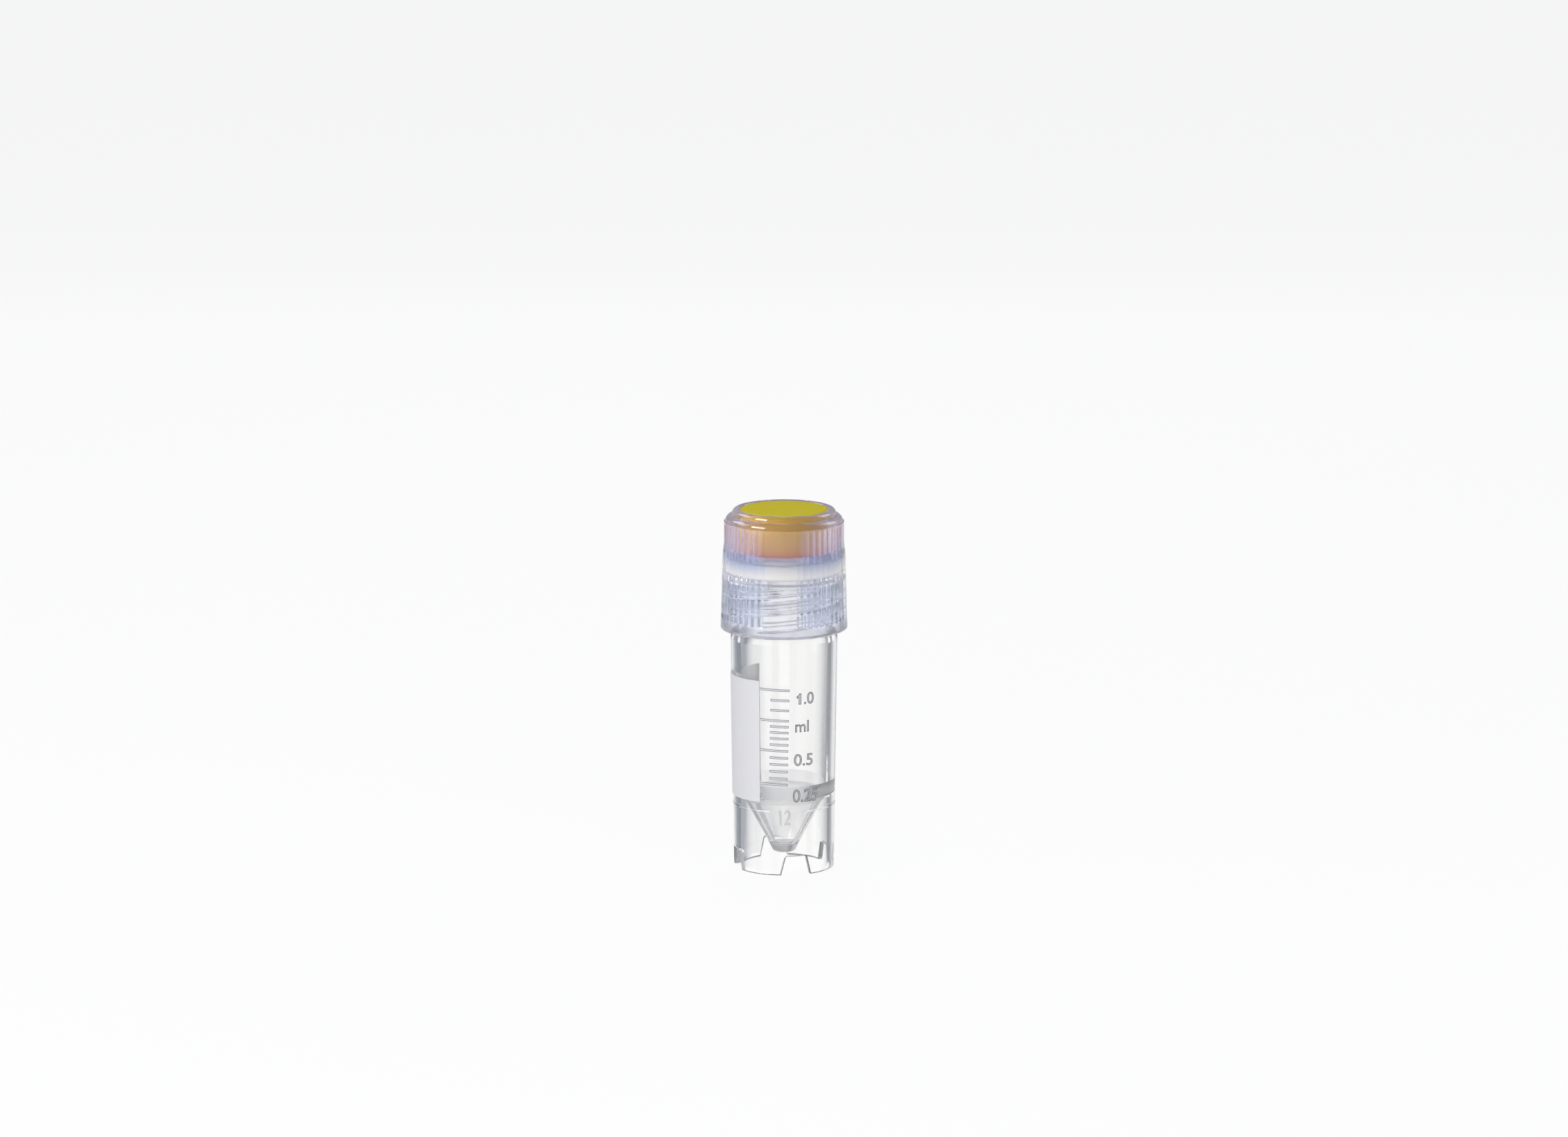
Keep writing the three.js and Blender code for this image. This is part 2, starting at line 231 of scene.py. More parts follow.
columns = np.arange(0, 360, 1.0)
tip_round = [
    (tip_r + 0.68 * math.sin(t), cone_foot_z - 0.44 * math.cos(t)) for t in np.radians([15, 30, 45, 60, 75])
]
foot_round = [
    (skirt_r + 0.02, 0.06), (skirt_r + 0.08, 0), (foot_r - 0.12, 0), (foot_r - 0.03, 0.04), (foot_r, 0.12),
]
seam_r = body_radius(seam_z) + seam_rise
seam = [(seam_r, seam_z - 0.03), (seam_r, seam_z + 0.03), (body_radius(seam_z + 0.08), seam_z + 0.08)]
shoulder_round = [
    (body_r - 0.03, shoulder_z - 0.03), (body_r - 0.1, shoulder_z),
    (neck_r + 0.1, shoulder_z), (neck_r, shoulder_z + 0.1),
]
neck = [
    (neck_r + thread_height * thread_rise(columns, z, thread_start, shoulder_z + 2.1, rim_z - 0.9), z)
    for z in np.arange(shoulder_z + 1.2, rim_z - 0.3, 0.055)
]
rim_round = [
    (neck_r, rim_z - 0.2), (neck_r - 0.05, rim_z - 0.04), (neck_r - 0.14, rim_z),
    (bore_r + 0.14, rim_z), (bore_r + 0.05, rim_z - 0.04), (bore_r, rim_z - 0.2),
]
tube_rows = (
    [(0, tip_z), (tip_r, tip_z)]
    + tip_round
    + wall((cone_foot_r, cone_foot_z), (4.72, groove_z), 12)
    + arc(4.82, groove_z, 0.1, 0.1, 180, 0)[1:]
    + wall((skirt_r, groove_z - 0.2), (skirt_r, 0.15), 14)
    + foot_round
    + [(body_radius(z), z) for z in (0.6, 2.6, 4, 6, seam_z - 0.08)]
    + seam
    + [(body_radius(z), z) for z in np.linspace(8.4, shoulder_z - 0.12, 22)]
    + shoulder_round
    + neck
    + rim_round
    + wall((bore_r, rim_z - 1), (bore_foot_r, cone_top_z), 26)
    + wall((bore_foot_r - 0.24, cone_top_z - 0.5), (cone_foot_r, well_z), 12)
    + [(1.24, 3.04), (1.0, 2.84), (0.7, 2.74), (0.45, well_foot_z), (0, well_foot_z)]
)
tube = turned("clear_tube", tube_rows, columns)
for quarter in range(4):
    cut(tube, notch_cutter(notch_azimuth + 90 * quarter))
shade(tube, soft=[(5.4, 6.06, shoulder_z + 0.4, rim_z - 0.3)])


def remap(tree, value, low, high, start=0, end=1):
    """A node that carries the range from low to high over to the range from start to end."""
    node = tree.nodes.new("ShaderNodeMapRange")
    for label, number in (("From Min", low), ("From Max", high), ("To Min", start), ("To Max", end)):
        node.inputs[label].default_value = number
    tree.links.new(value, node.inputs["Value"])
    return node


def moulded_group():
    """The skin of mouldings and prints: roughness between two levels, and a fine uneven height."""
    group = bpy.data.node_groups.new("moulded_skin", "ShaderNodeTree")
    for label, value in (("Scale", 300), ("Low", 0.02), ("High", 0.06), ("Relief", 1)):
        socket = group.interface.new_socket(label, in_out="INPUT", socket_type="NodeSocketFloat")
        socket.default_value = value
    for label in ("Roughness", "Height"):
        group.interface.new_socket(label, in_out="OUTPUT", socket_type="NodeSocketFloat")
    nodes, links = group.nodes, group.links
    given, made = nodes.new("NodeGroupInput"), nodes.new("NodeGroupOutput")
    place = nodes.new("ShaderNodeTexCoord")
    noise = nodes.new("ShaderNodeTexNoise")
    noise.inputs["Detail"].default_value = 4
    links.new(place.outputs["Object"], noise.inputs["Vector"])
    links.new(given.outputs["Scale"], noise.inputs["Scale"])
    level = remap(group, noise.outputs["Fac"], 0.3, 0.7)
    links.new(given.outputs["Low"], level.inputs["To Min"])
    links.new(given.outputs["High"], level.inputs["To Max"])
    links.new(level.outputs["Result"], made.inputs["Roughness"])
    relief = nodes.new("ShaderNodeMath")
    relief.operation = "MULTIPLY"
    links.new(noise.outputs["Fac"], relief.inputs[0])
    links.new(given.outputs["Relief"], relief.inputs[1])
    links.new(relief.outputs["Value"], made.inputs["Height"])
    return group


moulded_skin = moulded_group()


def finish(name, colour, grain, low, high, bump, **sockets):
    """An opaque finish with the moulded skin: its grain's scale, roughness from low to high, and bump."""
    material = bpy.data.materials.new(name)
    material.use_nodes = True
    nodes, links = material.node_tree.nodes, material.node_tree.links
    shader = nodes["Principled BSDF"]
    shader.inputs["Base Color"].default_value = (*colour, 1)
    for label, value in sockets.items():
        shader.inputs[label.replace("_", " ")].default_value = value
    skin = nodes.new("ShaderNodeGroup")
    skin.node_tree = moulded_skin
    for label, value in (("Scale", grain), ("Low", low), ("High", high)):
        skin.inputs[label].default_value = value
    bumped = nodes.new("ShaderNodeBump")
    bumped.inputs["Distance"].default_value = bump * MM
    links.new(skin.outputs["Height"], bumped.inputs["Height"])
    links.new(bumped.outputs["Normal"], shader.inputs["Normal"])
    links.new(skin.outputs["Roughness"], shader.inputs["Roughness"])
    return material


def mixed_shader(tree, factor, first, second):
    node = tree.nodes.new("ShaderNodeMixShader")
    for source, socket in zip((factor, first, second), node.inputs):
        tree.links.new(source, socket)
    return node.outputs["Shader"]


def clear_finish(name, colour, grain, low, high, bump, clearness, passed=(0.95, 0.95, 0.95)):
    """Clear plastic, which passes the lamps' light, so that what stands behind it is lit."""
    material = finish(name, colour, grain, low, high, bump, IOR=1.49, Transmission_Weight=clearness)
    tree = material.node_tree
    path = tree.nodes.new("ShaderNodeLightPath")
    open_air = tree.nodes.new("ShaderNodeBsdfTransparent")
    open_air.inputs["Color"].default_value = (*passed, 1)
    shader = tree.nodes["Principled BSDF"].outputs["BSDF"]
    surface = mixed_shader(tree, path.outputs["Is Shadow Ray"], shader, open_air.outputs["BSDF"])
    tree.links.new(surface, tree.nodes["Material Output"].inputs["Surface"])
    return material


# The grey and the near-black finishes below are painted shade: the grey darkens the cone's tip and the
# notches' cut faces, and the near black paints a dark rim on the bevels round the notches and the foot, where
# the clear wall's edges look dark.
for name, colour, grain, low, high, bump, clearness in (
    ("clear_polypropylene", (0.985, 0.985, 0.98), 260, 0.01, 0.04, 0.004, 1),
    ("frosted_polypropylene", (0.80, 0.80, 0.82), 900, 0.28, 0.4, 0.01, 0.85),
    ("satin_polypropylene", (0.93, 0.93, 0.93), 600, 0.04, 0.08, 0.006, 0.97),
    ("painted_edge_shade_polypropylene", (0.40, 0.40, 0.42), 900, 0.25, 0.35, 0.01, 0.8),
    ("painted_dark_rim_polypropylene", (0.03, 0.03, 0.033), 900, 0.25, 0.35, 0.01, 0.85),
):
    tube.data.materials.append(clear_finish(name, colour, grain, low, high, bump, clearness))
clear_skin, frosted_skin, satin_skin, painted_edge_shade, painted_dark_rim = range(5)
for face in tube.data.polygons:
    r, z = math.hypot(face.center.x, face.center.y) / MM, face.center.z / MM
    sideways = abs(face.normal.x * face.center.y - face.normal.y * face.center.x) / MM > 0.5 * r
    outward = (face.normal.x * face.center.x + face.normal.y * face.center.y) / MM / max(r, 0.001)
    in_cone = r < skirt_r - 0.02
    # Painted shade: the bevels round the notches and foot take the near-black finish, and the cone's tip and
    # the notches' cut faces the grey one.
    if z < 2.45 and r > body_radius(z) - 0.1 and outward < 0.96:
        face.material_index = painted_dark_rim
    elif in_cone and groove_z - 0.3 < z < cone_top_z:
        face.material_index = frosted_skin
    elif r < 1.8 and z < 2.68:
        face.material_index = painted_edge_shade
    elif in_cone and z <= groove_z - 0.3:
        face.material_index = satin_skin
    elif z < 2.5 and r > skirt_r and (sideways or face.normal.z < -0.6):
        face.material_index = painted_edge_shade
    else:
        face.material_index = clear_skin
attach(tube, "vial")
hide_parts("vial_tube")

# ---- Writing patch ----
# A panel of matt white ink that is screen printed on the left and back of the body,
# so that a pencil or marker takes on it.
patch_low, patch_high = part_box("writing_patch")
patch_back_edge, patch_front_edge = -146.5, -27.5
patch_azimuths = np.linspace(patch_back_edge, patch_front_edge, 84)
patch_heights = np.linspace(patch_low.z / MM, patch_high.z / MM, 29)


def printed(name, outline_rows, lift, thick):
    """A thin sheet of ink on the body: rows of (azimuths, heights) from foot to top."""
    body = bmesh.new()
    sheets = []
    for proud in (lift, lift + thick):
        grid = []
        for azimuths, heights in outline_rows:
            line = []
            for azimuth, z in zip(azimuths, heights):
                r, a = body_radius(z) + proud, math.radians(azimuth)
                line.append(body.verts.new((r * math.sin(a) * MM, -r * math.cos(a) * MM, z * MM)))
            grid.append(line)
        sheets.append(grid)
    under, over = sheets
    rows, count = len(under), len(under[0])
    for i in range(rows - 1):
        for j in range(count - 1):
            for sheet in sheets:
                body.faces.new((sheet[i][j], sheet[i][j + 1], sheet[i + 1][j + 1], sheet[i + 1][j]))
    border = [(0, j) for j in range(count)] + [(i, count - 1) for i in range(1, rows)]
    border += [(rows - 1, j) for j in range(count - 2, -1, -1)] + [(i, 0) for i in range(rows - 2, 0, -1)]
    for k, (i, j) in enumerate(border):
        m, n = border[(k + 1) % len(border)]
        body.faces.new((under[i][j], under[m][n], over[m][n], over[i][j]))
    return built(name, body)


patch = printed("writing_patch_ink", [(patch_azimuths, np.full(84, z)) for z in patch_heights], 0.03, 0.06)
shade(patch)
patch.data.materials.append(finish("matt_white_ink", (0.65, 0.645, 0.66), 2200, 0.6, 0.8, 0.02))
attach(patch, "vial")
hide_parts("writing_patch")

# ---- Scale marks ----
# Fine printed lines beside the patch, from 0.25 to 1 ml: long ones that run on to
# the patch and short ones between. A near-black outline is painted round the pale ink.
mark_ink = finish("scale_ink", (0.58, 0.58, 0.61), 2200, 0.5, 0.7, 0.01)
dark_outline = finish("scale_dark_outline", (0.06, 0.06, 0.065), 2200, 0.5, 0.7, 0.01)
long_marks = (21.47, 17.95, 14.46, 10.55)
short_marks = (20.30, 19.14, 17.26, 16.58, 15.88, 15.16, 13.65, 12.88, 12.06, 11.24)
mark_half, mark_edge = 0.13, 0.085
mark_start, mark_end = -13.2, 7.1
mark_slope, mark_drift, top_mark_z = 0.0035, 0.17, 21.5
for number, z in enumerate(sorted(long_marks + short_marks)):
    shift = -1.3 - (top_mark_z - z) * mark_drift
    end = mark_end + shift
    start = patch_front_edge if z in long_marks else mark_start + shift
    around = np.concatenate([[start], np.linspace(start + 0.45, end - 0.45, 22), [end]])
    slope = (end - around) * mark_slope
    lines = [(around, z + across + slope) for across in (-mark_half, -mark_edge, mark_edge, mark_half)]
    mark = printed(f"scale_mark_{number + 1:02d}", lines, 0.02, 0.03)
    shade(mark)
    mark.data.materials.append(mark_ink)
    mark.data.materials.append(dark_outline)
    # The near-black outline is painted on the faces off the line's middle and at its ends.
    for face in mark.data.polygons:
        azimuth = math.degrees(math.atan2(face.center.x, -face.center.y))
        off = abs(face.center.z / MM - z - (end - azimuth) * mark_slope)
        at_end = azimuth > end - 0.4 or (azimuth < start + 0.4 and z in short_marks)
        face.material_index = int(off > 0.09 or at_end)
    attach(mark, "vial")

# ---- Scale figures ----
# Printed figures that name the marks, and the unit between the upper two, in the
# same pale ink as the marks, with the same near-black outline painted round it.
plain_one = [
    (0.25, 0), (0.52, 0), (0.52, 1.25), (0.31, 1.25), (0.22, 1.07), (0, 0.92), (0, 0.71), (0.25, 0.84),
]


def lettering(name, text, left, foot, width, height, ink, rim=0.0, lift=0.02, thick=0.03, radius=body_radius):
    """Lettering wrapped round the vial: its left edge's azimuth, and its foot, width and height."""
    if text == "1":
        curve = bpy.data.curves.new(text, "CURVE")
        curve.dimensions, curve.fill_mode = "2D", "BOTH"
        outline = curve.splines.new("POLY")
        outline.points.add(len(plain_one) - 1)
        for point, (x, y) in zip(outline.points, plain_one):
            point.co = (x / 2, y / 2, 0, 1)
        outline.use_cyclic_u = True
    else:
        curve = bpy.data.curves.new(text, "FONT")
        curve.body = text
        curve.resolution_u = 6
    curve.extrude = 0.01
    curve.offset = 0.012 - rim / 2
    flat = placed(text, curve)
    bpy.context.view_layer.update()
    mesh = bpy.data.meshes.new_from_object(flat.evaluated_get(bpy.context.evaluated_depsgraph_get()))
    bpy.data.objects.remove(flat)
    body = bmesh.new()
    body.from_mesh(mesh)
    low = Vector([min(v.co[i] for v in body.verts) for i in range(3)])
    high = Vector([max(v.co[i] for v in body.verts) for i in range(3)])
    for v in body.verts:
        v.co = Vector([(v.co[i] - low[i]) / (high[i] - low[i]) for i in range(3)])
        v.co = Vector((rim + v.co.x * (width - 2 * rim), rim + v.co.y * (height - 2 * rim), v.co.z * thick))
    for x in np.arange(0.12, width, 0.12):
        everything = body.verts[:] + body.edges[:] + body.faces[:]
        bmesh.ops.bisect_plane(body, geom=everything, plane_co=(x, 0, 0), plane_no=(1, 0, 0))
    for v in body.verts:
        z = foot + v.co.y
        a = math.radians(left) + v.co.x / radius(foot + height / 2)
        r = radius(z) + lift + v.co.z
        v.co = Vector((r * math.sin(a), -r * math.cos(a), z)) * MM
    body.to_mesh(mesh)
    body.free()
    piece = placed(name, mesh)
    shade(piece, angle=40)
    piece.data.materials.append(ink)
    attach(piece, "vial")
    return piece


for name, text, left, foot, width, height in (
    ("figure_1", "1", 13.9, 19.83, 0.52, 1.27),
    ("figure_point_0", ".0", 22.2, 19.83, 1.22, 1.37),
    ("figure_ml", "ml", 12.3, 16.63, 1.62, 1.33),
    ("figure_0_5", "0.5", 11.0, 12.72, 2.28, 1.38),
    ("figure_0_25", "0.25", 10.0, 8.51, 3.0, 1.5),
):
    rim = lettering(name + "_edge", text, left, foot, width, height, dark_outline)
    fill = lettering(name + "_fill", text, left, foot, width, height, mark_ink, rim=0.075, thick=0.04)

# ---- Cavity number ----
# The number of the mould's cavity, so that a bad moulding can be traced. It is cut
# into the mould and stands out from the cone in the tube's own frosted plastic.
def cone_radius(z):
    return cone_foot_r + (z - cone_foot_z) * 0.5219


cavity_number = lettering(
    "cavity_number", "12", -7.5, 5.35, 1.2, 1.95, tube.data.materials[frosted_skin],
    lift=-0.02, thick=0.11, radius=cone_radius,
)

# ---- Screw cap ----
# A second moulding in faintly tinted clear plastic: an internal thread below a web,
# a grip wall with four groups of ball-ended flutes, and a raised ring around the
# recess that takes the insert.
cap_low, cap_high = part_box("screw_cap")
lip_z, top_z = cap_low.z / MM, cap_high.z / MM
lip_r = (cap_high.x - cap_low.x) / 2 / MM
ledge_z, ledge_r = top_z - 1.4, 6.645
grip_r, cap_bore_r = 6.785, 6.30
recess_z, recess_r = 36.45, 5.0
ceiling_z = 35.6
seat_r, seat_z = 5.85, rim_z - 0.3
group_azimuth = 41.5
flute_pitch, flute_count = 6.7, 9
flute_ball, flute_sink = 0.41, 0.27
flute_foot, flute_top = lip_z + 1.1, ledge_z

grip_heights = (lip_z, 31.3, 35.4, 36.4, 37.5, ledge_z)
grip_radii = (lip_r, 7.07, 6.965, 6.905, grip_r, grip_r)
group_starts = [group_azimuth + 90 * g for g in range(4)]
flute_azimuths = np.array([a + (i - 4) * flute_pitch for a in group_starts for i in range(flute_count)])
across = (-0.3085, -0.26, -0.2, -0.13, 0, 0.13, 0.2, 0.26, 0.3085)
cap_columns = [a + math.degrees(s / 6.95) for a in flute_azimuths for s in across]
cap_columns += [a + flute_pitch / 2 for a in flute_azimuths]
cap_columns += [a + 30.15 + 3.35 + 1.65 * k for a in group_starts for k in range(14)]
cap_columns = np.array(sorted({round(a % 360, 4) for a in cap_columns}))


def grip_row(z):
    """The grip wall at a height, with a ball-ended trough sunk into it at each flute."""
    radius = np.interp(z, grip_heights, grip_radii)
    gap = (cap_columns[:, None] - flute_azimuths[None, :] + 180) % 360 - 180
    sideways = np.abs(np.radians(gap)).min(axis=1) * radius
    beyond = max(flute_foot + flute_ball - z, z - flute_top + flute_ball, 0)
    depth = np.sqrt(np.clip(flute_ball**2 - sideways**2 - beyond**2, 0, None)) - flute_sink
    return radius - np.clip(depth, 0, None), z


def bore_row(z):
    """The cap's bore at a height, with ridges that lie a little above the neck's own."""
    phase = 360 * (lip_z + 0.8 - (shoulder_z + 2.1) + 1) / thread_lead
    rise = thread_rise(cap_columns, z, thread_start + phase, lip_z + 0.8, seat_z - 0.6)
    return cap_bore_r - thread_height * rise, z


grip_levels = np.concatenate([
    np.linspace(lip_z + 0.2, flute_foot - 0.05, 4),
    np.linspace(flute_foot + 0.09, flute_foot + 0.42, 9),
    np.linspace(flute_foot + 0.9, flute_top - 0.9, 24),
    np.linspace(flute_top - 0.42, flute_top - 0.09, 9),
])
seat_step = [
    (seat_r + 0.45 * (1 - math.cos(t)) / 2, 34.0 - 0.9 * t / math.pi) for t in np.linspace(0, math.pi, 10)
]
cap_rows = (
    [(0, ceiling_z), (2.5, ceiling_z), (seat_r - 0.1, ceiling_z), (seat_r, ceiling_z - 0.1)]
    + [(seat_r, 34.8), (seat_r, 34.2)]
    + seat_step
    + [bore_row(z) for z in np.arange(33.0, lip_z + 0.3, -0.06)]
    + [(cap_bore_r, lip_z + 0.2), (cap_bore_r + 0.2, lip_z), (lip_r - 0.2, lip_z)]
    + arc(lip_r - 0.2, lip_z + 0.2, 0.2, 0.2, -90, 0, 6)[1:-1]
    + [grip_row(z) for z in grip_levels]
    + [(grip_r, ledge_z - 0.03), (grip_r - 0.03, ledge_z), (ledge_r, ledge_z)]
    + arc(5.9, ledge_z, 0.745, 0.75, 0, 90, 10)[1:]
    + arc(5.45, ledge_z + 0.75, 0.45, 0.65, 0, 90, 9)
    + [(recess_r + 0.15, top_z)]
    + arc(recess_r + 0.15, top_z - 0.15, 0.15, 0.15, 90, 180, 5)[1:]
    + wall((recess_r, top_z - 0.6), (recess_r, recess_z + 0.1), 8)
    + [(recess_r - 0.03, recess_z + 0.03), (recess_r - 0.1, recess_z), (2.5, recess_z), (0, recess_z)]
)
cap = turned("fluted_cap", cap_rows, cap_columns)
shade(cap, soft=[(6.4, 7.3, lip_z + 0.25, ledge_z - 0.04), (5.7, 6.4, lip_z + 0.25, seat_z - 0.4)])


def fill_ramp(node, stops):
    """Gives a colour ramp its stops, from (position, colour) in rising order."""
    elements = node.color_ramp.elements
    for i, (position, colour) in enumerate(stops):
        if i == 0:
            stop = elements[0]
        elif i == len(stops) - 1:
            stop = elements[-1]
        else:
            stop = elements.new(position)
        stop.position, stop.color = position, (*colour, 1)


def graded(material, stops):
    """Colours a finish by height, from stops of (height, colour)."""
    tree = material.node_tree
    place = tree.nodes.new("ShaderNodeTexCoord")
    split = tree.nodes.new("ShaderNodeSeparateXYZ")
    tree.links.new(place.outputs["Object"], split.inputs["Vector"])
    low, high = stops[0][0], stops[-1][0]
    level = remap(tree, split.outputs["Z"], low * MM, high * MM)
    tint = tree.nodes.new("ShaderNodeValToRGB")
    tree.links.new(level.outputs["Result"], tint.inputs["Fac"])
    fill_ramp(tint, [((z - low) / (high - low), colour) for z, colour in stops])
    tree.links.new(tint.outputs["Color"], tree.nodes["Principled BSDF"].inputs["Base Color"])


# The plastic's own tint is an even faint lavender. Over it, each copy but the inside
# one is painted: by height, the colours of the insert, gasket and threads seen through
# the wall lie as bands from lip to ring, with a white band where the gasket shows and
# a dark band of painted shade at the recess floor. The border and fluted copies are
# darker and bluer and the ring and lip copies darker, all painted shade, and the
# recess wall carries the insert's yellow and orange as a painted reflection.
for name, colour, low, high, bump, clearness, stops in (
    ("tinted_polypropylene", (0.9, 0.9, 0.95), 0.03, 0.07, 0.004, 0.93, [
        (28.6, (0.82, 0.84, 0.88)), (33.8, (0.84, 0.86, 0.90)), (34.3, (0.97, 0.95, 0.93)),
        (35.1, (0.92, 0.92, 0.94)), (35.65, (0.82, 0.87, 0.92)), (36.25, (0.70, 0.74, 0.86)),
        (36.45, (0.38, 0.33, 0.47)), (36.72, (0.38, 0.31, 0.44)), (36.85, (0.85, 0.74, 0.82)),
        (40.0, (0.88, 0.80, 0.88)),
    ]),
    ("tinted_polypropylene_border_painted_shade", (0.9, 0.9, 0.95), 0.08, 0.14, 0.004, 0.90, [
        (27.5, (0.78, 0.82, 0.94)), (33.8, (0.80, 0.84, 0.94)), (34.5, (0.93, 0.93, 0.93)),
        (35.65, (0.68, 0.75, 0.89)), (36.25, (0.58, 0.64, 0.86)), (36.6, (0.52, 0.48, 0.66)),
        (36.95, (0.80, 0.67, 0.76)), (40.0, (0.84, 0.74, 0.82)),
    ]),
    ("tinted_polypropylene_fluted_painted_shade", (0.8, 0.8, 0.9), 0.06, 0.1, 0.004, 0.80, [
        (27.5, (0.70, 0.75, 0.92)), (33.5, (0.72, 0.77, 0.93)), (34.6, (0.88, 0.88, 0.91)),
        (35.65, (0.56, 0.64, 0.84)), (36.4, (0.46, 0.54, 0.84)), (37.3, (0.74, 0.60, 0.80)),
        (40.0, (0.80, 0.67, 0.84)),
    ]),
    ("tinted_polypropylene_ring_painted_shade", (0.56, 0.46, 0.62), 0.02, 0.05, 0.004, 0.97, None),
    ("tinted_polypropylene_inside", (0.93, 0.94, 0.98), 0.04, 0.08, 0.004, 0.96, None),
    ("tinted_polypropylene_recess_painted_insert_colour", (0.95, 0.7, 0.45), 0.35, 0.4, 0.001, 0.94, [
        (36.4, (0.72, 0.62, 0.74)), (36.7, (0.92, 0.68, 0.50)),
        (40.5, (1.0, 0.84, 0.15)), (41.25, (1.0, 0.9, 0.08)),
    ]),
    ("tinted_polypropylene_lip_painted_shade", (0.60, 0.60, 0.67), 0.14, 0.2, 0.004, 0.85, None),
):
    tinted = clear_finish(name, colour, 260, low, high, bump, clearness, passed=(0.95, 0.95, 0.96))
    if stops:
        graded(tinted, stops)
    cap.data.materials.append(tinted)
panel_skin, border_skin, fluted_skin, ring_skin, inside_skin, recess_skin, lip_skin = range(7)
# Each region takes its copy, with the painted shade and painted colours above.
for face in cap.data.polygons:
    r, z = math.hypot(face.center.x, face.center.y) / MM, face.center.z / MM
    azimuth = math.degrees(math.atan2(face.center.x, -face.center.y))
    from_group = abs((azimuth - group_azimuth + 45) % 90 - 45)
    if r < recess_r + 0.01 and z > recess_z - 0.01:
        face.material_index = recess_skin
    elif z > ledge_z - 0.02:
        face.material_index = ring_skin
    elif r < 6.45 and lip_z + 0.15 < z < recess_z:
        face.material_index = inside_skin
    elif z < flute_foot:
        face.material_index = lip_skin
    elif from_group < 3.5 * flute_pitch:
        face.material_index = fluted_skin
    elif from_group < 4.5 * flute_pitch:
        face.material_index = border_skin
    else:
        face.material_index = panel_skin
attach(cap, "cap")
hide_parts("screw_cap")

# ---- Cap insert ----
# An opaque satin disc, pressed into the recess of the cap; its colour tells the
# samples apart.
face_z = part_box("cap_insert")[1].z / MM
insert_rows = (
    [(0, recess_z + 0.02), (4.62, recess_z + 0.02)]
    + arc(4.62, recess_z + 0.15, 0.13, 0.13, -90, 0, 5)[1:]
    + wall((4.75, 37.5), (4.75, 40.5), 6)
    + arc(4.63, face_z - 0.12, 0.12, 0.12, 0, 90, 6)
    + [(3.2, face_z), (0, face_z)]
)
insert = turned("cap_disc", insert_rows, np.arange(0, 360, 2.0))
shade(insert, angle=30)
face_plastic = finish(
    "olive_yellow_plastic", (0.515, 0.435, 0.008), 1500, 0.45, 0.6, 0.015, Specular_IOR_Level=0.04
)
# The side is the face's plastic painted darker and more orange, as it looks through the cap wall: painted
# shade, with a painted red fringe at its foot and a painted lighter yellow towards the top, where the ring
# shows it.
side_plastic = finish("olive_yellow_plastic_painted_side", (0.56, 0.31, 0.11), 1500, 0.45, 0.6, 0.015)
graded(side_plastic, [
    (36.4, (0.68, 0.12, 0.10)), (36.6, (0.66, 0.16, 0.11)), (36.95, (0.47, 0.31, 0.045)),
    (39.2, (0.47, 0.335, 0.03)), (39.8, (0.75, 0.55, 0.03)), (40.6, (0.82, 0.63, 0.012)),
    (41.25, (0.86, 0.71, 0.008)),
])
insert.data.materials.append(face_plastic)
insert.data.materials.append(side_plastic)
for face in insert.data.polygons:
    face.material_index = int(face.center.z / MM < face_z - 0.1)
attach(insert, "cap")
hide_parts("cap_insert")

# ---- Seal gasket ----
# A flat ring of milky silicone under the web, which the cap squeezes onto the rim.
# It is punched from sheet and held by the wall of its seat.
gasket_low, gasket_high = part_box("seal_gasket")
gasket_foot, gasket_top = gasket_low.z / MM + 0.01, gasket_high.z / MM + 0.015
gasket_middle = (gasket_foot + gasket_top) / 2
gasket_rows = [
    (4.58, gasket_foot), (5.72, gasket_foot), (5.82, gasket_foot + 0.05), (5.865, gasket_foot + 0.2),
    (5.87, gasket_middle), (5.87, gasket_top - 0.1), (5.85, gasket_top - 0.03), (5.78, gasket_top),
    (4.58, gasket_top), (4.5, gasket_top - 0.08), (4.48, gasket_middle), (4.5, gasket_foot + 0.08),
    (4.58, gasket_foot),
]
gasket = turned("silicone_ring", gasket_rows, np.arange(0, 360, 3.0))
body = bmesh.new()
body.from_mesh(gasket.data)
bmesh.ops.remove_doubles(body, verts=body.verts, dist=1e-7)
body.to_mesh(gasket.data)
body.free()
shade(gasket, angle=40)
milky_silicone = finish("milky_silicone", (0.84, 0.83, 0.82), 900, 0.4, 0.6, 0.01)
# Painted shade on the milky white: darker and cooler at the foot, brightest just above it, and darker again
# towards the top under the web.
graded(milky_silicone, [
    (33.95, (0.66, 0.70, 0.80)), (34.3, (0.97, 0.94, 0.89)), (34.6, (0.94, 0.91, 0.87)),
    (35.1, (0.80, 0.78, 0.76)), (35.65, (0.58, 0.60, 0.63)),
])
gasket.data.materials.append(milky_silicone)
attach(gasket, "seal")
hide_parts("seal_gasket")

